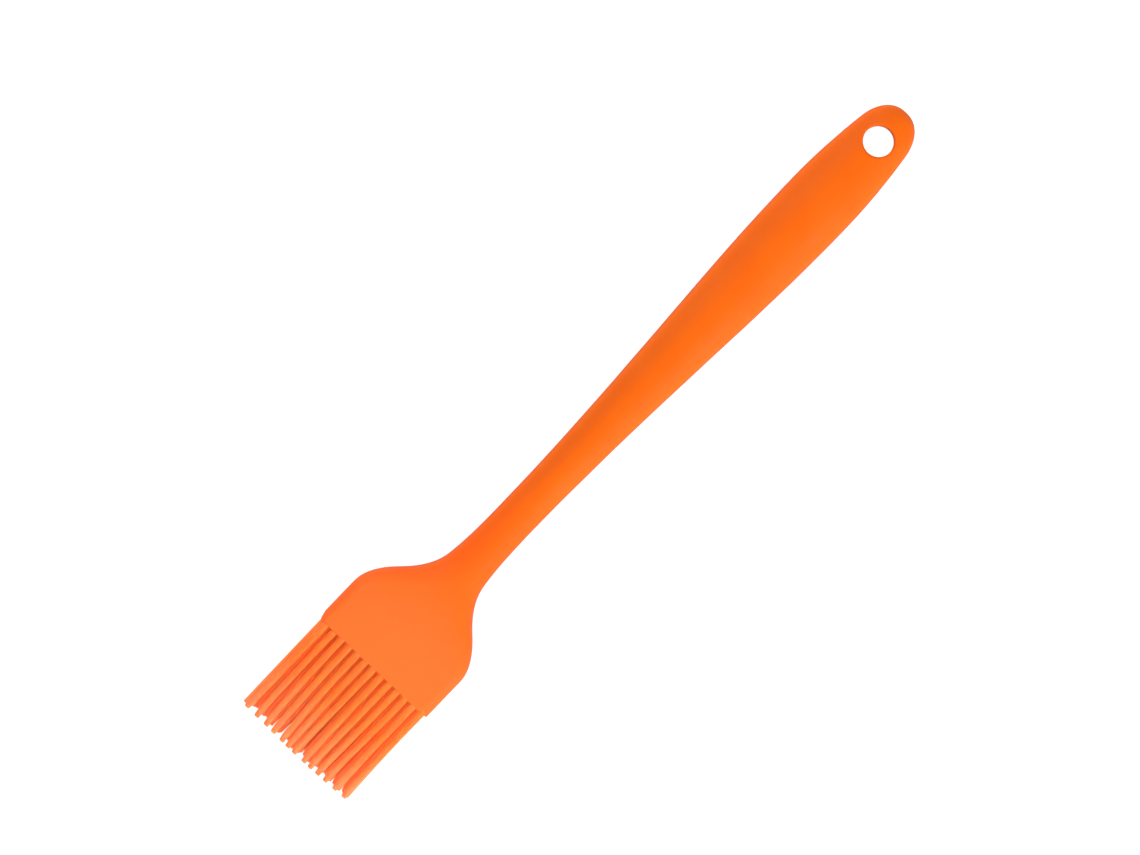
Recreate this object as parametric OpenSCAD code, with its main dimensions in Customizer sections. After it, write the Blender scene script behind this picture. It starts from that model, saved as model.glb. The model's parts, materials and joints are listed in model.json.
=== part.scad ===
// Silicone pastry brush, lying flat on z = 0.
// The bristles point to -X and the hanging hole is at the +X end.
// A steel core runs through the handle. The bristle pad is moulded onto the
// front of the core's paddle, and the handle sleeve is moulded over both.
// Each row of bristles bends about a line through its own roots.

/* [Overall] */
// Length from the bristle tips to the end of the handle
brush_len = 210; // [200:1:250]
// Thickness of the head and of the grip
body_t = 12; // [12:0.1:14]

/* [Head] */
// Width of the head
head_w = 34.7; // [34.6:0.1:38]
// Length of the head's straight sides
head_side_len = 11.4; // [10:0.1:16]
// Length of each half of the shoulder curve
shoulder_len = 10.3; // [9:0.1:14]
// Radius of the head's long edges
edge_r = 2.2; // [1.2:0.1:3]
// Bevel around the mouth of the head
mouth_bevel = 0.2; // [0.1:0.1:0.6]

/* [Handle] */
// Width of the handle at its neck
neck_w = 9.7; // [9:0.1:12]
// Thickness of the handle at its neck
neck_t = 8.6; // [7:0.1:10]
// Greatest width of the grip
grip_w = 17.4; // [15:0.1:20]
// Diameter of the hanging hole
hang_hole_d = 7.5; // [5:0.1:8]
// Distance from the hanging hole's centre to the end of the handle
hang_hole_inset = 9.5; // [9:0.1:11]

/* [Bristles] */
// Distance between rows
row_pitch = 2.5; // [2.3:0.05:2.5]
// How far alternate rows are shifted sideways
row_shift = 0.9; // [0:0.1:1.3]
// Number of bristles in a row
bristle_count = 13; // [9:1:13]
// Distance between bristles in a row
bristle_pitch = 2.57; // [2.4:0.01:2.6]
// Length of the outer rows' bristles outside the head
bristle_len = 27.9; // [22:0.1:32]
// How much shorter the inner rows are
inner_cut = 0.6; // [0:0.1:3]
// Diameter of a bristle at its root
root_d = 1.8; // [1.5:0.05:1.8]
// Diameter of a bristle where its tip starts to narrow
shaft_d = 1.6; // [1.3:0.05:1.8]
// Diameter of a bristle at its tip
tip_d = 1.2; // [0.9:0.05:1.3]
// Length of the narrowing tip
tip_len = 2.3; // [1:0.1:4]

/* [Bristle pad] */
// Thickness of the flange outside the head
flange_t = 0.8; // [0.8:0.1:1.5]
// How much thinner the flange is than the head
flange_step = 0.2; // [0.2:0.05:0.5]
// Depth of the pad's tongue inside the head
tongue_len = 9; // [7:0.1:9.5]

/* [Steel core] */
// Thickness of the core
core_t = 2; // [1.5:0.1:2.5]
// Width of the core's paddle in the head
paddle_w = 20; // [16:0.5:22]
// Width of the core in the neck
core_neck_w = 5.4; // [4:0.1:6]
// Width of the core in the grip
core_grip_w = 9; // [7:0.1:10]
// Diameter of the holes that key the core into the silicone
key_hole_d = 3.6; // [2:0.1:4]

/* [Hidden] */

// Distances along the brush are measured from the bristle tips, in the
// plane half way through its thickness
NECK_BLEND = 17;
GRIP_INSET = 31;
TAPER_INSET = 10;
CAP_LEN = 8;
mouth_x = bristle_len;
side_end_x = mouth_x + head_side_len;
shoulder_mid_x = side_end_x + shoulder_len;
neck_start_x = shoulder_mid_x + shoulder_len;
neck_x = neck_start_x + NECK_BLEND;
grip_x = brush_len - GRIP_INSET;
belly_x = (neck_x + grip_x) / 2;
taper_x = brush_len - TAPER_INSET;
cap_x = brush_len - CAP_LEN;

// Plan outline as stations of a smooth curve: [distance, half width, slope]
OUTLINE = [
    [mouth_x, head_w / 2, 0],
    [side_end_x, head_w / 2, 0],
    [shoulder_mid_x, mix(neck_w, head_w, 0.54) / 2, -1.05],
    [neck_start_x, neck_w / 2 + 0.8, -0.13],
    [neck_x, neck_w / 2, 0],
    [belly_x, mix(neck_w, grip_w, 0.448) / 2, 0.055],
    [grip_x, grip_w / 2, 0],
    [taper_x, grip_w / 2 - 1.27, -0.13],
    [brush_len, grip_w / 2 - 2.57, -0.13]
];
// Side outline in the same form: [distance, half thickness, slope]
SIDE = [
    [mouth_x, body_t / 2, 0],
    [side_end_x, body_t / 2, 0],
    [neck_start_x, neck_t / 2 + 0.55, -0.05],
    [neck_x, neck_t / 2, 0],
    [grip_x, body_t / 2, 0],
    [taper_x, body_t / 2 - 1.3, -0.09],
    [brush_len, body_t / 2 - 2.2, -0.09]
];

// Power of the superellipse that closes the handle's end
CAP_POWER = 2.35;
// Share of the handle's section that is rounded: nearly all of it
FULL_ROUND = 0.97;
// Steps in each quarter of a section
CORNER_STEPS = 8;
// Spacing of the sleeve's sections, and how far round the end they go
SHOULDER_STEP = 1.5;
HANDLE_STEP = 6.2;
CAP_STEPS = 9;
CAP_TURN = 86;

// Bristles: each has a round root that turns with a small gap in its groove
ROWS = 5;
ARC_STEPS = 6;
TURN_GAP = 0.05;
ROOT_STANDOFF = 0.65;
TIP_ROUND = 0.25;
root_r = root_d / 2;
flange_x = mouth_x - flange_t;
hinge_x = flange_x - ROOT_STANDOFF * root_r;
block_w = (bristle_count - 1) * bristle_pitch + row_shift + root_d;

// Pad tongue: a waist at the mouth, and a wider anchor bead behind it
WAIST_LEN = 4.4;
TONGUE_R = 1.4;
waist_w = head_w - 5;
waist_t = body_t - 4.2;
bead_w = head_w - 3.4;
bead_t = body_t - 2.8;

// Steel core: how far its paddle reaches into the tongue, and where it ends
PADDLE_LAP = 6;
CORE_END_GAP = 7;
GRIP_KEY_HOLES = 4;
paddle_x = mouth_x + tongue_len - PADDLE_LAP;
paddle_end_x = side_end_x + 4;
core_end_x = brush_len - hang_hole_inset - hang_hole_d / 2 - CORE_END_GAP;
core_end_r = core_grip_w / 2;

function mix(a, b, t) = a + (b - a) * t;
function smooth(t) = let (u = min(max(t, 0), 1)) u * u * (3 - 2 * u);

// Value at x of a curve through [x, value, slope] stations
function hermite(p, q, x) =
    let (l = q[0] - p[0], t = (x - p[0]) / l)
    p[1] * (1 + 2 * t) * (1 - t) * (1 - t) + q[1] * t * t * (3 - 2 * t)
    + l * t * (1 - t) * (p[2] * (1 - t) - q[2] * t);
function curve(stations, x, i = 0) =
    i < len(stations) - 2 && x > stations[i + 1][0]
        ? curve(stations, x, i + 1)
        : hermite(stations[i], stations[i + 1], x);

// The handle's end narrows to nothing over its last few millimetres
function cap(x) =
    let (u = max(0, (x - cap_x) / CAP_LEN))
    pow(max(0, 1 - pow(u, CAP_POWER)), 1 / CAP_POWER);
function bevel(x) = max(0, mouth_bevel - (x - mouth_x));
function half_w(x) = (curve(OUTLINE, x) - bevel(x)) * cap(x);
function half_t(x) = (curve(SIDE, x) - bevel(x)) * cap(x);
function roundness(x) = FULL_ROUND * smooth((x - side_end_x) / (neck_start_x - side_end_x));

// One section of the sleeve: a rectangle with elliptical corners
function section(x) =
    let (
        w = half_w(x),
        t = half_t(x),
        corner_w = mix(edge_r, w, roundness(x)),
        corner_t = mix(edge_r, t, roundness(x))
    )
    [
        for (quarter = [0:3], i = [0:CORNER_STEPS])
        let (
            a = 90 * (quarter + i / CORNER_STEPS),
            side = quarter == 0 || quarter == 3 ? 1 : -1,
            face = quarter < 2 ? 1 : -1
        )
        [x, side * (w - corner_w) + corner_w * cos(a), face * (t - corner_t) + corner_t * sin(a)]
    ];

// Distances at which the sleeve has a section
SECTIONS = [
    mouth_x,
    mouth_x + mouth_bevel,
    for (x = [side_end_x:SHOULDER_STEP:neck_start_x]) x,
    for (x = [neck_start_x + HANDLE_STEP / 2:HANDLE_STEP:cap_x - HANDLE_STEP / 4]) x,
    for (i = [0:CAP_STEPS]) cap_x + CAP_LEN * sin(CAP_TURN * i / CAP_STEPS)
];

// A closed skin through the sections, with a flat mouth and a point at the end
module swept_body() {
    ring = 4 * (CORNER_STEPS + 1);
    last = len(SECTIONS) - 1;
    points = [for (x = SECTIONS) each section(x), [brush_len, 0, 0]];
    mouth = [for (j = [0:ring - 1]) ring - 1 - j];
    skin = [
        for (i = [0:last - 1], j = [0:ring - 1])
        let (a = i * ring + j, b = i * ring + (j + 1) % ring)
        each [[a, b, b + ring], [a, b + ring, a + ring]]
    ];
    end = [for (j = [0:ring - 1]) [last * ring + j, last * ring + (j + 1) % ring, (last + 1) * ring]];
    polyhedron(points, concat([mouth], skin, end));
}

// Moves a shape from its place along the brush into the part's own frame
module placed() translate([-brush_len / 2, 0, body_t / 2]) children();

// A bar along X with rounded long edges
module rounded_bar(x, length, w, t, r) {
    translate([x, 0, 0])
        rotate([90, 0, 90])
            linear_extrude(length)
                union() {
                    square([w - 2 * r, t], center = true);
                    square([w, t - 2 * r], center = true);
                    for (y = [-1, 1], z = [-1, 1])
                        translate([y * (w / 2 - r), z * (t / 2 - r)]) circle(r, $fn = 32);
                }
}

module hang_hole() {
    translate([brush_len - hang_hole_inset, 0, 0])
        cylinder(d = hang_hole_d, h = 2 * body_t, center = true, $fn = 64);
}

// The core's plan: a paddle, a slim neck and a wider end in the grip
module core_plate() {
    linear_extrude(core_t, center = true)
        union() {
            translate([paddle_x, -paddle_w / 2]) square([paddle_end_x - paddle_x, paddle_w]);
            polygon([
                [paddle_end_x, -paddle_w / 2],
                [neck_start_x, -core_neck_w / 2],
                [neck_x, -core_neck_w / 2],
                [core_end_x - core_end_r, -core_end_r],
                [core_end_x - core_end_r, core_end_r],
                [neck_x, core_neck_w / 2],
                [neck_start_x, core_neck_w / 2],
                [paddle_end_x, paddle_w / 2]
            ]);
            translate([core_end_x - core_end_r, 0]) circle(core_end_r, $fn = 48);
        }
}

module key_hole(x, y) {
    translate([x, y, 0]) cylinder(d = key_hole_d, h = 2 * core_t, center = true, $fn = 32);
}

// Holes that the silicone flows through: two in the paddle, the rest in the grip
module key_holes() {
    for (y = [-1, 1])
        key_hole(mouth_x + tongue_len + key_hole_d, y * paddle_w / 4);
    for (i = [0:GRIP_KEY_HOLES - 1])
        key_hole(mix(belly_x, core_end_x - core_end_r, i / (GRIP_KEY_HOLES - 1)), 0);
}

module core_solid() {
    difference() {
        core_plate();
        key_holes();
    }
}

module tongue() {
    rounded_bar(mouth_x, WAIST_LEN, waist_w, waist_t, TONGUE_R);
    rounded_bar(mouth_x + WAIST_LEN, tongue_len - WAIST_LEN, bead_w, bead_t, TONGUE_R);
}

// Height of a row above the middle plane; row 1 is the top one
function row_z(row) = ((ROWS + 1) / 2 - row) * row_pitch;

module handle_sleeve() {
    color("#f97316")
        placed()
            difference() {
                swept_body();
                hang_hole();
                tongue();
                core_solid();
            }
}

module core() {
    color("#b8bcc2") placed() core_solid();
}

// Each row's roots sit in a half-round groove across the flange
module bristle_pad() {
    color("#fb8a3c")
        placed()
            difference() {
                union() {
                    rounded_bar(flange_x, flange_t, block_w, body_t - flange_step, edge_r);
                    tongue();
                }
                core_plate();
                for (row = [1:ROWS])
                    translate([hinge_x, 0, row_z(row)])
                        rotate([90, 0, 0])
                            cylinder(r = root_r + TURN_GAP, h = head_w, center = true, $fn = 48);
            }
}

// A tapered bristle along -X, with its round root centred on the origin
module bristle(length) {
    flat_r = tip_d / 2 - TIP_ROUND;
    outline = [
        for (i = [0:ARC_STEPS]) let (a = 90 * i / ARC_STEPS) [root_r * sin(a), -root_r * cos(a)],
        [shaft_d / 2, length - tip_len],
        for (i = [0:ARC_STEPS / 2])
        let (a = 180 * i / ARC_STEPS)
        [flat_r + TIP_ROUND * cos(a), length - TIP_ROUND * (1 - sin(a))],
        [0, length]
    ];
    rotate([0, -90, 0]) rotate_extrude($fn = 24) polygon(outline);
}

// Alternate rows are shifted, so that bristles stand behind the gaps of the row before
module bristle_row(row) {
    shift = (row % 2 == 0 ? row_shift : -row_shift) / 2;
    length = row == 1 || row == ROWS ? hinge_x : hinge_x - inner_cut;
    color("#fd9a52")
        placed()
            for (i = [0:bristle_count - 1])
                let (y = shift + (i - (bristle_count - 1) / 2) * bristle_pitch)
                    translate([hinge_x, y, row_z(row)]) bristle(length);
}

handle_sleeve();
core();
bristle_pad();
bristle_row(1);  // bristle_row_1
bristle_row(2);  // bristle_row_2
bristle_row(3);  // bristle_row_3
bristle_row(4);  // bristle_row_4
bristle_row(5);  // bristle_row_5
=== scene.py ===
"""Looks of the silicone pastry brush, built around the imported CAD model.

The brush lies flat: +X runs from the bristle tips to the hanging hole, +Y across the head and +Z up.
Profiles are worked in millimetres, as distances from the head's mouth, and become metres in the meshes.
"""

import json
import math
import random

import bmesh
import bpy
import numpy as np
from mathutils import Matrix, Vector, noise


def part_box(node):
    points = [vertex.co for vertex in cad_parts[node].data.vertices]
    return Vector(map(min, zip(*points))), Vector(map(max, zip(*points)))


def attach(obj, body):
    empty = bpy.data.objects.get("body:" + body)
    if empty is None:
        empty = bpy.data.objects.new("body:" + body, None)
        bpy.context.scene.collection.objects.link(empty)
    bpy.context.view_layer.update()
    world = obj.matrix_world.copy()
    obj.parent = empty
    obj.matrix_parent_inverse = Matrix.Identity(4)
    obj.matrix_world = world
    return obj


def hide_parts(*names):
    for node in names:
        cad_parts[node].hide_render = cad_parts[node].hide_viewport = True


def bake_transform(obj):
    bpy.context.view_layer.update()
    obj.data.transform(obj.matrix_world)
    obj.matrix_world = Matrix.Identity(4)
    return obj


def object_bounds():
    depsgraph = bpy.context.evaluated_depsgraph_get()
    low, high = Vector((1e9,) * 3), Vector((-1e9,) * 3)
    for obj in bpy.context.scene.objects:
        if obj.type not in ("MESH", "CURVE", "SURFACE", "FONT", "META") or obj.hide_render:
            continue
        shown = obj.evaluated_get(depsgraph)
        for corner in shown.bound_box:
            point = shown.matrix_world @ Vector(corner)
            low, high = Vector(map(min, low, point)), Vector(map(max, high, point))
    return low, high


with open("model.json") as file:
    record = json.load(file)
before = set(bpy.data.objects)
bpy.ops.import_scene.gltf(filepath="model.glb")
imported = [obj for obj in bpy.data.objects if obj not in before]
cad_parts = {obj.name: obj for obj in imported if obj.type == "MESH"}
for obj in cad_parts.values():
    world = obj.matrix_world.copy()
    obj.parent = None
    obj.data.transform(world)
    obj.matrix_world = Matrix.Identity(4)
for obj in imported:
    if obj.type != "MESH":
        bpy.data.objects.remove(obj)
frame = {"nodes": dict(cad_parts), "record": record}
cad_low, cad_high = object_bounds()

MM = 0.001
SEED = 11

# ---------------------------------------------------------------- places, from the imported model

sleeve_low, sleeve_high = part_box("handle_sleeve")
MOUTH_X = sleeve_low.x
MIDDLE_Z = (sleeve_low.z + sleeve_high.z) / 2
SLEEVE_LEN = (sleeve_high.x - sleeve_low.x) / MM
HEAD_HALF_W = (sleeve_high.y - sleeve_low.y) / 2 / MM
BODY_HALF_T = (sleeve_high.z - sleeve_low.z) / 2 / MM
BRUSH_LEN = cad_high.x - cad_low.x
MOUNTS = {mount["name"]: mount for mount in frame["record"]["mounts"]}
HOLE_R = MOUNTS["hang_hole"]["dims"]["r_mm"]
HOLE_AT = (MOUNTS["hang_hole"]["pos_m"][0] - MOUTH_X) / MM
ROWS = sorted(name for name in frame["nodes"] if name.startswith("bristle_row_"))

# ---------------------------------------------------------------- sleeve: profile

# Ends of the sleeve's stretches, as distances from the mouth
SIDE_END = 11.4
SHOULDER_MID = 21.7
NECK_START = 32.0
NECK = 49.0
GRIP = SLEEVE_LEN - 31
BELLY = (NECK + GRIP) / 2
TAPER = SLEEVE_LEN - 10
CAP = SLEEVE_LEN - 8
CAP_POWER = 2.35

# Stations of smooth curves: distance, half size, slope
OUTLINE = [
    (0, HEAD_HALF_W, 0),
    (SIDE_END, HEAD_HALF_W, 0),
    (SHOULDER_MID, 11.6, -1.05),
    (NECK_START, 5.65, -0.13),
    (NECK, 4.85, 0),
    (BELLY, 6.575, 0.055),
    (GRIP, 8.7, 0),
    (TAPER, 7.43, -0.13),
    (SLEEVE_LEN, 6.13, -0.13),
]
SIDE = [
    (0, BODY_HALF_T, 0),
    (SIDE_END, BODY_HALF_T, 0),
    (NECK_START, 4.85, -0.05),
    (NECK, 4.3, 0),
    (GRIP, BODY_HALF_T, 0),
    (TAPER, 4.7, -0.09),
    (SLEEVE_LEN, 3.8, -0.09),
]
# Radius of the head's long edges, and the least that is left of it on an inset skin
EDGE_R = 2.2
LEAST_EDGE_R = 0.3
# Points round each corner of the exact section, and the points kept over its top
ARC_POINTS = 60
HALF_POINTS = 56
# The parting line stands out by this much, and the points nearest to it are this far along the section
SEAM_H = 0.07
SEAM_STEPS = (0.0, 0.13, 0.3, 0.65, 1.2)
# The mouth runs slightly askew, out towards +Y, where its corner is cut off at an angle
MOUTH_SKEW = 0.4
CUT_W = 0.5
CUT_LEN = 2.0
SKEW_FADE = 4.0
# The mouth's rounded edge, and the pocket behind it
MOUTH_R = 0.1
MOUTH_STEPS = 6
POCKET_DEPTH = 3.0
POCKET_INSET = 1.3
LIP_INSET = 1.25
RING_STEP = 1.1
# The last stretch is rings round the hanging hole
PATCH_START = HOLE_AT - 9.0
OUTLINE_STEPS = 22
RADIAL_STEPS = 16
# The hole's edge is rounded over this width, and its bore ends at the middle plane
HOLE_RIM = 0.85
RIM_STEPS = 7
BORE_SHARES = (0.66, 0.33, 0.0)
SLOPE_STEP = 0.1
# The skin's slight unevenness, and the size of its waves, in metres
UNEVENNESS = 0.03 * MM
WAVE_SIZE = 9 * MM
# Points closer than this are one point, and edges shorter than this are dropped, in metres
MERGE_DIST = 2e-6
LEAST_EDGE = 1e-7


def mix(a, b, share):
    return a + (b - a) * share


def quarter_turns(steps):
    """Angles of a quarter circle in even steps, with both ends."""
    return [math.radians(90 * step / steps) for step in range(steps + 1)]


def smooth(t):
    t = min(max(t, 0.0), 1.0)
    return t * t * (3 - 2 * t)


def curve(stations, at):
    """Value at a distance along a smooth curve through (distance, value, slope) stations."""
    for (x0, v0, s0), (x1, v1, s1) in zip(stations, stations[1:]):
        if at <= x1 or x1 == stations[-1][0]:
            break
    span = x1 - x0
    t = (at - x0) / span
    ends = v0 * (1 + 2 * t) * (1 - t) ** 2 + v1 * t * t * (3 - 2 * t)
    return ends + span * t * (1 - t) * (s0 * (1 - t) - s1 * t)


def cap(at):
    """Share of the size left as the handle's end closes."""
    u = min(max((at - CAP) / (SLEEVE_LEN - CAP), 0.0), 1.0)
    return (1 - u**CAP_POWER) ** (1 / CAP_POWER)


def half_size(at, inset=0.0):
    """Half width, half thickness and the two corner radii of the sleeve's section."""
    w = curve(OUTLINE, at) * cap(at) - inset
    t = curve(SIDE, at) * cap(at) - inset
    share = smooth((at - SIDE_END) / (NECK_START - SIDE_END))
    edge = max(EDGE_R - inset, LEAST_EDGE_R)
    return w, t, mix(edge, w, share), mix(edge, t, share)


def half_section(at, inset=0.0):
    """Points (y, z) over the top of a section, from its +Y edge to its -Y edge, closer near the edges."""
    w, t, corner_w, corner_t = half_size(at, inset)
    a = np.linspace(0, math.pi / 2, ARC_POINTS)
    y = w - corner_w + corner_w * np.cos(a)
    z = t - corner_t + corner_t * np.sin(a)
    y, z = np.concatenate([y, -y[::-1]]), np.concatenate([z, z[::-1]])
    along = np.concatenate([[0], np.cumsum(np.hypot(np.diff(y), np.diff(z)))])
    length = along[-1]
    inner = np.linspace(SEAM_STEPS[-1], length - SEAM_STEPS[-1], HALF_POINTS)[1:-1]
    wanted = np.concatenate([SEAM_STEPS, inner, [length - s for s in reversed(SEAM_STEPS)]])
    y, z = np.interp(wanted, along, y), np.interp(wanted, along, z)
    y[0] += SEAM_H
    y[-1] -= SEAM_H
    z[0] = z[-1] = 0
    return np.stack([y, z], axis=1)


def surface_height(at, y):
    """Height of the sleeve's top skin above its middle plane."""
    w, t, corner_w, corner_t = half_size(at)
    over = min(max((abs(y) - (w - corner_w)) / max(corner_w, 1e-6), 0.0), 1.0)
    return t - corner_t + corner_t * math.sqrt(1 - over * over)


def mouth_skew(y):
    """How far out the mouth is at y, from its place at the -Y side."""
    return -MOUTH_SKEW * (1 + y / HEAD_HALF_W) / 2


def ring(at, inset=0.0):
    """One row of the sleeve's grid: (distance, y, z) points, skewed and cut at the corner near the mouth."""
    points = half_section(at, inset)
    y = points[:, 0]
    shift = mouth_skew(y) + CUT_LEN * np.clip((y - (HEAD_HALF_W - CUT_W)) / CUT_W, 0, 1)
    return np.column_stack([at + shift * max(1 - at / SKEW_FADE, 0), points])


# ---------------------------------------------------------------- mesh building


def grid_mesh(name, grids, unevenness=0.0):
    """One closed mesh from (grid, wraps) pairs.

    A grid's points are (distance, y, z) in millimetres, and one that wraps is closed from its last column to
    its first.
    """
    points, faces = [], []
    for grid, wraps in grids:
        rows, columns = grid.shape[:2]
        base = len(points)
        points.extend(grid.reshape(-1, 3))
        for i in range(rows - 1):
            for j in range(columns if wraps else columns - 1):
                k = (j + 1) % columns
                a, b = base + i * columns, base + (i + 1) * columns
                faces.append((a + j, a + k, b + k, b + j))
    metres = [(MOUTH_X + x * MM, y * MM, MIDDLE_Z + z * MM) for x, y, z in points]
    mesh = bpy.data.meshes.new(name)
    mesh.from_pydata(metres, [], faces)
    work = bmesh.new()
    work.from_mesh(mesh)
    bmesh.ops.remove_doubles(work, verts=work.verts, dist=MERGE_DIST)
    bmesh.ops.dissolve_degenerate(work, edges=work.edges, dist=LEAST_EDGE)
    bmesh.ops.recalc_face_normals(work, faces=work.faces)
    if unevenness:
        work.normal_update()
        moves = [v.normal * (noise.noise(v.co / WAVE_SIZE) * unevenness) for v in work.verts]
        for vertex, move in zip(work.verts, moves):
            vertex.co += move
    for face in work.faces:
        face.smooth = True
    work.to_mesh(mesh)
    work.free()
    piece = bpy.data.objects.new(name, mesh)
    bpy.context.scene.collection.objects.link(piece)
    return piece


def both_sides(grid, wraps=False):
    """A grid of the top half, and the same under the middle plane."""
    under = grid.copy()
    under[:, :, 2] *= -1
    return [(grid, wraps), (under, wraps)]


def mouth_rings():
    """Rings from the pocket behind the mouth, out over the mouth's rounded edge."""
    rings = [ring(POCKET_DEPTH, POCKET_INSET), ring(0.0, LIP_INSET)]
    for turn in quarter_turns(MOUTH_STEPS):
        rings.append(ring(MOUTH_R * (1 - math.cos(turn)), MOUTH_R * (1 - math.sin(turn))))
    return rings


def hole_edge(centre, ray):
    """Points along one ray from the hanging hole's centre, down its rounded edge and its bore."""
    rim_r = HOLE_R + HOLE_RIM
    top = surface_height(*(centre + ray * rim_r))
    slope = (surface_height(*(centre + ray * (rim_r - SLOPE_STEP))) - top) / SLOPE_STEP
    crest = top + slope * HOLE_RIM
    wall_top = crest - HOLE_RIM
    profile = []
    for step in range(1, RIM_STEPS + 1):
        t = step / RIM_STEPS
        radius = rim_r * (1 - t) ** 2 + HOLE_R * (2 * t * (1 - t) + t * t)
        height = top * (1 - t) ** 2 + crest * 2 * t * (1 - t) + wall_top * t * t
        profile.append((radius, height))
    profile += [(HOLE_R, wall_top * share) for share in BORE_SHARES]
    return [(*(centre + ray * radius), height) for radius, height in profile]


def end_patch():
    """The handle's end as rings round the hanging hole: skin, soft rim and bore down to the middle plane."""
    section = ring(PATCH_START)
    side = []
    for turn in quarter_turns(OUTLINE_STEPS)[1:]:
        at = mix(PATCH_START, SLEEVE_LEN, math.sin(turn))
        side.append((at, -curve(OUTLINE, at) * cap(at)))
    outline = side + [(x, -y) for x, y in side[-2::-1]]
    centre = np.array([HOLE_AT, 0.0])
    columns = []
    for index, point in enumerate([p[:2] for p in section] + outline):
        on_end = index >= len(section)
        on_parting_line = on_end or index in (0, len(section) - 1)
        ray = np.array(point) - centre
        reach = np.linalg.norm(ray)
        ray = ray / reach
        column = []
        for step, turn in enumerate(quarter_turns(RADIAL_STEPS - 1)):
            spot = centre + ray * mix(HOLE_R + HOLE_RIM, reach, math.cos(turn))
            if step > 0:
                z = surface_height(spot[0], spot[1])
            else:
                z = 0.0 if on_parting_line else section[index][2]
                spot = spot + ray * (SEAM_H if on_end else 0.0)
            column.append((spot[0], spot[1], z))
        columns.append(column + hole_edge(centre, ray))
    return np.array(columns).swapaxes(0, 1)


def build_sleeve():
    rings = mouth_rings()
    places = np.linspace(MOUTH_R, PATCH_START, round((PATCH_START - MOUTH_R) / RING_STEP) + 1)
    rings += [ring(at) for at in places[1:]]
    pocket_floor = np.stack([rings[0], rings[0] * (1, 1, 0)])
    grids = both_sides(np.array(rings)) + both_sides(pocket_floor) + both_sides(end_patch(), True)
    return grid_mesh("sleeve_skin", grids, UNEVENNESS)


# ---------------------------------------------------------------- bristle pad and bristles

# The pad's face stands just outside the mouth, and its tongue ends in the pocket behind it
PAD_FACE = -0.04
PAD_HALF_W = 16.8
PAD_HALF_T = 5.87
PAD_CORNER = 1.6
PAD_EDGE_R = 0.06
TONGUE_DEPTH = 2.9
TONGUE_INSET = 1.5
FLANGE_INSET = 1.3
# The corners of a section, anticlockwise, as (side, face)
CORNERS = ((1, 1), (-1, 1), (-1, -1), (1, -1))
CORNER_STEPS = 8
EDGE_STEPS = 4

BRISTLE_PITCH = 2.57
BRISTLE_SIDES = 18
ROOT_DEPTH = 1.0
ROOT_R = 0.9
SHAFT_R = 0.8
TIP_R = 0.66
ROOT_FILLET = 0.02
TIP_ROUND = 0.22
TIP_LEN = 2.4
TIP_POWER = 1.3
# The tapered tips keep straight along their -Y side
TIP_SHIFT = 0.14
# The rows under the top one have more pointed tips
INNER_TIP_R = 0.5
INNER_TIP_SHIFT = 0.3
# Steps along each part of a bristle
FILLET_STEPS = 3
SHAFT_STEPS = 22
TAPER_STEPS = 7
TIP_STEPS = 4
# How far each row's tips rise towards the top row
ROW_LIFT = (0.0, 0.7, 0.5, 0.3, 0.0)
# How far each bristle of the top row leans towards -Y, and how much shorter it is, from the +Y side on
TOP_ROW = (
    (0.1, 0.2), (0.5, 0.15), (0.95, 0.15), (0.8, 0.1), (1.1, 0.05), (0.5, 0.0), (0.0, 0.0),
    (0.55, 0.05), (0.0, 0.1), (-0.25, 0.2), (-0.4, 0.3), (0.0, 0.45), (0.3, 0.6),
)
# How much shorter the rows under the top one end, in the gap at each bristle's +Y side
NOTCHES = (0.0, 1.0, 1.0, 0.5, 0.5, 0.7, 0.0, 0.4, 0.3, 0.8, 0.7, 0.6, 0.6)
# A bristle's lean grows with this power of the distance from its root
LEAN_POWER = 2.0
# Rows 2 and 4, in the gaps, take a share of the top row's lean and this much more of their own
GAP_LEAN_SHARE = 0.3
GAP_LEAN = (-0.45, 0.25)
# Rows 3 and 5, right under the top row's bristles, take all of its lean and this much more, and so end in
# the gap beside them
UNDER_LEAN = (0.2, 0.8)
# The outermost bristle on the +Y side leans in by at least this much
LEAST_EDGE_LEAN = 0.1
# Small differences from bristle to bristle: extra cut, lift either way, and thickness
EXTRA_CUT = 0.2
LIFT_SPREAD = 0.15
GIRTHS = (0.975, 1.0)


def pad_ring(at, inset=0.0):
    """A rounded rectangle as a closed row of points. In front of the mouth it follows the mouth's skew."""
    w, t, r = PAD_HALF_W - inset, PAD_HALF_T - inset, PAD_CORNER - inset
    points = []
    for quarter, (side, face) in enumerate(CORNERS):
        for step in range(CORNER_STEPS + 1):
            a = math.radians(90 * (quarter + step / CORNER_STEPS))
            y = side * (w - r) + r * math.cos(a)
            skew = mouth_skew(y) if at < 0 else 0.0
            points.append((at + skew, y, face * (t - r) + r * math.sin(a)))
    return np.array(points)


def build_pad():
    back = pad_ring(TONGUE_DEPTH, TONGUE_INSET)
    rings = [back * (1, 0, 0), back, pad_ring(0.0, FLANGE_INSET), pad_ring(0.0)]
    for turn in quarter_turns(EDGE_STEPS):
        rings.append(pad_ring(PAD_FACE - PAD_EDGE_R * math.sin(turn), PAD_EDGE_R * (1 - math.cos(turn))))
    rings.append(rings[-1] * (1, 1, 0))
    return grid_mesh("pad_face", [(np.array(rings), True)])


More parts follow.
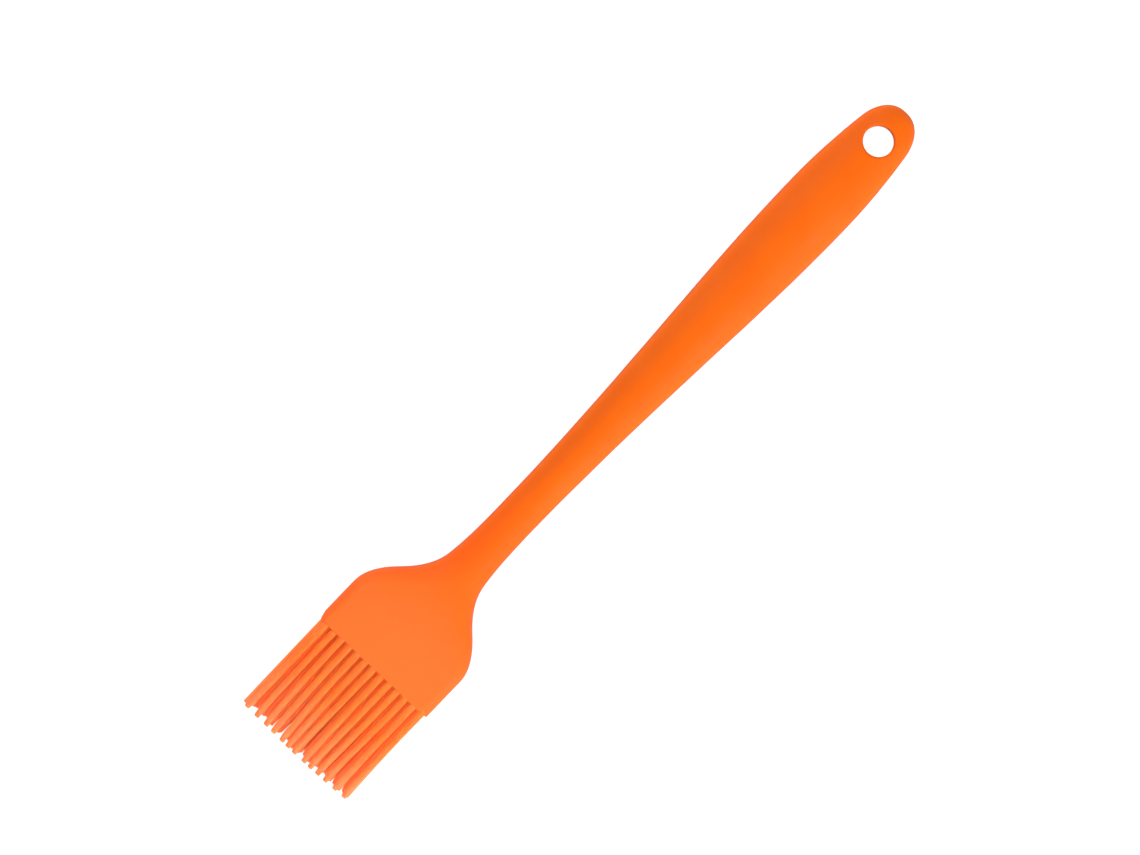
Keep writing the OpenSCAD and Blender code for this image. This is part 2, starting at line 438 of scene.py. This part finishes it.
def bristle_rings(length, tip_r):
    """(distance from the root, radius) pairs from inside the pad to the tip."""
    rings = [(-ROOT_DEPTH, 0.0), (-ROOT_DEPTH, ROOT_R + ROOT_FILLET)]
    for turn in quarter_turns(FILLET_STEPS):
        rings.append((ROOT_FILLET * (1 - math.cos(turn)), ROOT_R + ROOT_FILLET * (1 - math.sin(turn))))
    shaft_end = length - TIP_LEN
    for step in range(1, SHAFT_STEPS + 1):
        share = step / SHAFT_STEPS
        rings.append((mix(ROOT_FILLET, shaft_end, share), mix(ROOT_R, SHAFT_R, share)))
    for step in range(1, TAPER_STEPS):
        share = step / TAPER_STEPS
        rings.append((mix(shaft_end, length - TIP_ROUND, share), mix(SHAFT_R, tip_r, share**TIP_POWER)))
    for turn in quarter_turns(TIP_STEPS):
        rings.append((length - TIP_ROUND * (1 - math.sin(turn)), tip_r - TIP_ROUND * (1 - math.cos(turn))))
    return rings + [(length, 0.0)]


def bristle_grid(y, z, lean_y, lean_z, length, girth, tip_r, tip_shift):
    """One round tapered bristle that curves off towards its tip."""
    around = np.linspace(0, 2 * math.pi, BRISTLE_SIDES, endpoint=False)
    rows = []
    for along, radius in bristle_rings(length, tip_r):
        bend = max(along / length, 0.0) ** LEAN_POWER
        shift = tip_shift * max((along - length + TIP_LEN) / TIP_LEN, 0.0) ** TIP_POWER
        x = np.full(BRISTLE_SIDES, PAD_FACE - along)
        ys = y + lean_y * bend - shift + radius * girth * np.cos(around)
        zs = z + lean_z * bend + radius * girth * np.sin(around)
        rows.append(np.column_stack([x, ys, zs]))
    return np.array(rows)


def build_row(index, name):
    """A row of bristles, from the +Y side on. The rows under the top one differ from it at random."""
    chance = random.Random(SEED + index)
    low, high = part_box(name)
    middle, z = (low.y + high.y) / 2 / MM, ((low.z + high.z) / 2 - MIDDLE_Z) / MM
    length = (MOUTH_X - low.x) / MM + PAD_FACE
    count = round(((high.y - low.y) / MM - 2 * ROOT_R) / BRISTLE_PITCH) + 1
    limit = HEAD_HALF_W - SHAFT_R
    grids = []
    for place in range(count):
        y = middle + ((count - 1) / 2 - place) * BRISTLE_PITCH
        lean, cut = TOP_ROW[place]
        tip_r, tip_shift = TIP_R, TIP_SHIFT
        if index > 0:
            right_under = index % 2 == 0
            if right_under:
                lean = lean + chance.uniform(*UNDER_LEAN)
            else:
                lean = GAP_LEAN_SHARE * lean + chance.uniform(*GAP_LEAN)
            cut = NOTCHES[min(place + right_under, count - 1)] + chance.uniform(0.0, EXTRA_CUT)
            tip_r, tip_shift = INNER_TIP_R, INNER_TIP_SHIFT
        if place == 0:
            lean, tip_r, tip_shift = max(lean, LEAST_EDGE_LEAN), TIP_R, -TIP_SHIFT
        lean_y = min(max(y - lean, -limit), limit) - y
        lean_z = ROW_LIFT[index] + chance.uniform(-LIFT_SPREAD, LIFT_SPREAD)
        girth = chance.uniform(*GIRTHS)
        grids.append((bristle_grid(y, z, lean_y, lean_z, length - cut, girth, tip_r, tip_shift), True))
    return grid_mesh(f"bristles_{name[-1]}", grids)


# ---------------------------------------------------------------- materials

# Colours as sRGB values of 0 to 255: each silicone has a deep and a pale one
HANDLE_TONES = (253, 105, 6), (254, 109, 9)
NECK_TONE = (252, 96, 5)
# The head's tone is paler: a painted highlight, standing in for the extra light on the head
HEAD_HIGHLIGHT_TONE = (252, 101, 34)
# The sides' tone is painted shade, darkening the faces that turn away from the top
SIDE_SHADE_TONE = (176, 62, 8)
TOP_ROW_TONES = (254, 114, 40), (254, 118, 47)
# The inner rows are paler than the top row: painted light, brightening the shaded slots between the bristles
INNER_BRIGHTENED_TONES = (255, 122, 52), (255, 127, 60)
# The tips' tone is a painted glow of the light coming through the thin tips
TIP_GLOW_TONE = (250, 137, 88)
DUST_TONE = (255, 214, 178)
# Linear colours
STEEL_TONES = (0.50, 0.50, 0.52, 1), (0.62, 0.61, 0.60, 1)
PAPER_TONES = (0.19, 0.19, 0.19, 1), (0.21, 0.21, 0.21, 1)
WHITE = (1, 1, 1, 1)
# The shares of each blend at its full strength
DUST_SHARE = 0.35
SIDE_SHADE_SHARE = 0.55
TIP_GLOW_SHARE = 0.8
# The handle's tone deepens from the grip to the neck between these distances from the mouth
DEEPER_FROM = 62
DEEPER_TO = 36
# The bristles turn paler, a painted glow of light through them, from this share of the way between tip and
# mouth
PALE_FROM = 0.6
# How much light passes through each silicone, how far in millimetres, and how far each of its colours
HANDLE_GLOW = 0.08
TOP_ROW_GLOW = 1.0
INNER_GLOW = 0.2
HANDLE_GLOW_DEPTH = 2
BRISTLE_GLOW_DEPTH = 1.2
GLOW_RADIUS = (1.0, 0.3, 0.1)
SHEEN = 0.12
# Most of a noise's values lie between these
NOISE_LOW = 0.3
NOISE_HIGH = 0.7


def linear(srgb):
    """Linear colour, with alpha, from sRGB values of 0 to 255."""
    values = [c / 255 for c in srgb]
    return [c / 12.92 if c <= 0.04045 else ((c + 0.055) / 1.055) ** 2.4 for c in values] + [1.0]


class Nodes:
    """Short calls for building a material's node tree."""

    def __init__(self, name):
        self.material = bpy.data.materials.new(name)
        self.material.use_nodes = True
        self.tree = self.material.node_tree
        self.shader = self.tree.nodes["Principled BSDF"]
        self.place = self.add("ShaderNodeTexCoord").outputs["Object"]

    def add(self, kind, **inputs):
        node = self.tree.nodes.new(kind)
        for key, value in inputs.items():
            self.feed(node.inputs[key.replace("_", " ")], value)
        return node

    def feed(self, socket, value):
        if isinstance(value, bpy.types.NodeSocket):
            self.tree.links.new(value, socket)
        else:
            socket.default_value = value

    def set(self, **inputs):
        for key, value in inputs.items():
            self.feed(self.shader.inputs[key.replace("_", " ")], value)

    def stretched(self, scale):
        node = self.add("ShaderNodeMapping", Vector=self.place)
        node.inputs["Scale"].default_value = scale
        return node.outputs["Vector"]

    def noise(self, size, detail, vector=None):
        """Noise whose features are about that size, in metres."""
        node = self.add("ShaderNodeTexNoise", Scale=1 / size, Detail=detail)
        self.feed(node.inputs["Vector"], vector or self.place)
        return node.outputs["Fac"]

    def specks(self, spacing, share):
        """1 inside sparse round specks and 0 elsewhere."""
        cells = self.add("ShaderNodeTexVoronoi", Vector=self.place, Scale=1 / spacing)
        return self.ranged(cells.outputs["Distance"], share, share * 0.5, 0.0, 1.0)

    def ranged(self, value, low, high, to_low, to_high):
        node = self.add("ShaderNodeMapRange", Value=value)
        for key, number in (("From Min", low), ("From Max", high), ("To Min", to_low), ("To Max", to_high)):
            node.inputs[key].default_value = number
        return node.outputs["Result"]

    def spread(self, value, to_low=0.0, to_high=1.0):
        """A noise's usual values, spread between two others."""
        return self.ranged(value, NOISE_LOW, NOISE_HIGH, to_low, to_high)

    def math(self, operation, a, b):
        node = self.add("ShaderNodeMath")
        node.operation = operation
        self.feed(node.inputs[0], a)
        self.feed(node.inputs[1], b)
        return node.outputs[0]

    def blend(self, share, a, b):
        node = self.add("ShaderNodeMix")
        node.data_type = "RGBA"
        self.feed(node.inputs[0], share)
        self.feed(node.inputs[6], a)
        self.feed(node.inputs[7], b)
        return node.outputs[2]

    def bump(self, height, distance, strength, under=None):
        node = self.add("ShaderNodeBump", Height=height, Distance=distance, Strength=strength)
        if under is not None:
            self.feed(node.inputs["Normal"], under)
        return node.outputs["Normal"]


def silicone(name, tones, glow, glow_depth):
    """Matt satin moulded silicone: faint mottling, a fine mould texture, and a few pale specks of dust."""
    m = Nodes(name)
    mottle = m.noise(9 * MM, 3)
    deep, pale = tones
    colour = m.blend(m.spread(mottle), linear(deep), linear(pale))
    dust_zone = m.ranged(m.noise(14 * MM, 1), 0.6, 0.68, 0.0, 1.0)
    dust = m.math("MULTIPLY", m.specks(2.6 * MM, 0.07), dust_zone)
    colour = m.blend(m.math("MULTIPLY", dust, DUST_SHARE), colour, linear(DUST_TONE))
    rough = m.spread(m.noise(3 * MM, 4), 0.55, 0.64)
    rubbed = m.ranged(m.noise(22 * MM, 2), 0.55, 0.75, 0.0, -0.06)
    grain = m.bump(m.noise(0.16 * MM, 2), 0.02 * MM, 0.35)
    waves = m.bump(m.noise(1.8 * MM, 2), 0.03 * MM, 0.25, grain)
    m.set(Base_Color=colour, Roughness=m.math("ADD", rough, rubbed), Normal=waves)
    m.set(Subsurface_Weight=glow, Subsurface_Radius=GLOW_RADIUS, Subsurface_Scale=glow_depth * MM)
    m.set(Specular_IOR_Level=SHEEN)
    return m


def fade(m, start, end, tone, share):
    """Blends the colour towards another one between two places along X."""
    along = m.add("ShaderNodeSeparateXYZ", Vector=m.place).outputs["X"]
    whole = m.shader.inputs["Base Color"].links[0].from_socket
    m.set(Base_Color=m.blend(m.ranged(along, start, end, 0.0, share), whole, linear(tone)))


def paint_side_shade(m):
    """Painted shade: darkens the sides, where the surface turns away from the top."""
    normal = m.add("ShaderNodeNewGeometry").outputs["Normal"]
    upright = m.math("ABSOLUTE", m.add("ShaderNodeSeparateXYZ", Vector=normal).outputs["Z"], 0.0)
    whole = m.shader.inputs["Base Color"].links[0].from_socket
    m.set(Base_Color=m.blend(m.ranged(upright, 0.15, 0.55, SIDE_SHADE_SHARE, 0.0), whole, linear(SIDE_SHADE_TONE)))


def handle_silicone():
    """The neck is a little deeper than the grip; the head is paler, a painted highlight, and the sides get
    painted shade.
    """
    m = silicone("handle_silicone", HANDLE_TONES, HANDLE_GLOW, HANDLE_GLOW_DEPTH)
    fade(m, MOUTH_X + DEEPER_FROM * MM, MOUTH_X + DEEPER_TO * MM, NECK_TONE, 1.0)
    # The head turns paler: painted highlight
    fade(m, MOUTH_X + NECK_START * MM, MOUTH_X + SIDE_END * MM, HEAD_HIGHLIGHT_TONE, 1.0)
    # Painted shade down the sides
    paint_side_shade(m)
    return m.material


def bristle_silicone(name, tones, glow):
    """The same silicone, paler towards the thin tips: a painted glow of the light that comes through them."""
    m = silicone(name, tones, glow, BRISTLE_GLOW_DEPTH)
    fade(m, mix(cad_low.x, MOUTH_X, PALE_FROM), cad_low.x, TIP_GLOW_TONE, TIP_GLOW_SHARE)
    return m.material


def core_steel():
    """Stamped stainless strip, brushed along its length."""
    m = Nodes("core_steel")
    grain = m.noise(0.35 * MM, 3, m.stretched((0.03, 1.0, 1.0)))
    stain = m.noise(7 * MM, 3)
    colour = m.blend(m.spread(stain), *STEEL_TONES)
    m.set(Base_Color=colour, Metallic=1.0, Roughness=m.spread(grain, 0.26, 0.42))
    m.set(Normal=m.bump(grain, 0.01 * MM, 0.4))
    return m.material


def floor_paper():
    """Plain white paper, bright enough on its own to leave no shadow."""
    m = Nodes("floor_paper")
    tone = m.spread(m.noise(60 * MM, 3))
    m.set(Base_Color=m.blend(tone, *PAPER_TONES), Roughness=0.7)
    m.set(Emission_Color=WHITE, Emission_Strength=0.95, Specular_IOR_Level=0.2)
    m.set(Normal=m.bump(m.noise(0.5 * MM, 2), 0.02 * MM, 0.2))
    return m.material


# ---------------------------------------------------------------- pieces


def paint(piece, material):
    piece.data.materials.clear()
    piece.data.materials.append(material)


def place_pieces():
    handle = handle_silicone()
    top = bristle_silicone("bristle_silicone", TOP_ROW_TONES, TOP_ROW_GLOW)
    # The inner rows and the pad take the paler tones, painted light in the shaded slots
    inner = bristle_silicone("inner_bristle_silicone_brightened", INNER_BRIGHTENED_TONES, INNER_GLOW)
    sleeve = build_sleeve()
    paint(sleeve, handle)
    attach(sleeve, "handle")
    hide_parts("handle_sleeve")
    pad = build_pad()
    paint(pad, inner)
    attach(pad, "handle")
    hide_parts("bristle_pad")
    for index, name in enumerate(ROWS):
        row = build_row(index, name)
        paint(row, inner if index else top)
        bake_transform(row)
        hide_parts(name)
    paint(frame["nodes"]["core"], core_steel())


# ---------------------------------------------------------------- stage

# The camera looks straight down, with the brush turned in its view
BRUSH_TURN = math.radians(46.1)
VIEW_WIDTH = 1.2875 * BRUSH_LEN
VIEW_CENTRE = (-0.0192 * BRUSH_LEN, 0.027 * BRUSH_LEN)
LENS = 300
SENSOR = 36
CLIP_START = 0.01
FLOOR_HALF = 1.6
WORLD_LIGHT = 0.28
# Soft square lights: name, place, size, power, aim, and the beam's full angle in degrees. The last one, small
# and right over the bristles, reaches into the slots between them.
LIGHTS = (
    ("key", (-0.2, -0.85, 0.5), 0.5, 9.9, (0, 0, 0), 180),
    ("fill", (0.3, 0.72, 0.6), 0.5, 5.4, (0, 0, 0), 180),
    ("head_light", (MOUTH_X - 0.01, -0.03, 0.3), 0.08, 0.0124, (MOUTH_X - 0.01, -0.012, 0), 20),
)


def add_camera():
    data = bpy.data.cameras.new("camera")
    data.lens = LENS
    data.sensor_width = SENSOR
    data.clip_start = CLIP_START
    camera = bpy.data.objects.new("camera", data)
    camera.location = (*VIEW_CENTRE, MIDDLE_Z + VIEW_WIDTH * LENS / SENSOR)
    camera.rotation_euler = (0, 0, -BRUSH_TURN)
    bpy.context.scene.collection.objects.link(camera)
    bpy.context.scene.camera = camera


def add_light(name, spot, size, power, aim, spread):
    data = bpy.data.lights.new(name, "AREA")
    data.size = size
    data.energy = power
    data.spread = math.radians(spread)
    light = bpy.data.objects.new(name, data)
    light.location = spot
    light.rotation_euler = (Vector(aim) - Vector(spot)).to_track_quat("-Z", "Y").to_euler()
    bpy.context.scene.collection.objects.link(light)


def add_stage():
    mesh = bpy.data.meshes.new("floor")
    corners = [(x, y, 0.0) for x, y in ((-1, -1), (1, -1), (1, 1), (-1, 1))]
    mesh.from_pydata([Vector(c) * FLOOR_HALF for c in corners], [], [(0, 1, 2, 3)])
    floor = bpy.data.objects.new("floor", mesh)
    bpy.context.scene.collection.objects.link(floor)
    paint(floor, floor_paper())
    world = bpy.data.worlds.new("world")
    world.use_nodes = True
    back = world.node_tree.nodes["Background"]
    back.inputs["Color"].default_value = WHITE
    back.inputs["Strength"].default_value = WORLD_LIGHT
    bpy.context.scene.world = world
    for light in LIGHTS:
        add_light(*light)
    bpy.context.scene.view_settings.view_transform = "Standard"


add_camera()
add_stage()
place_pieces()
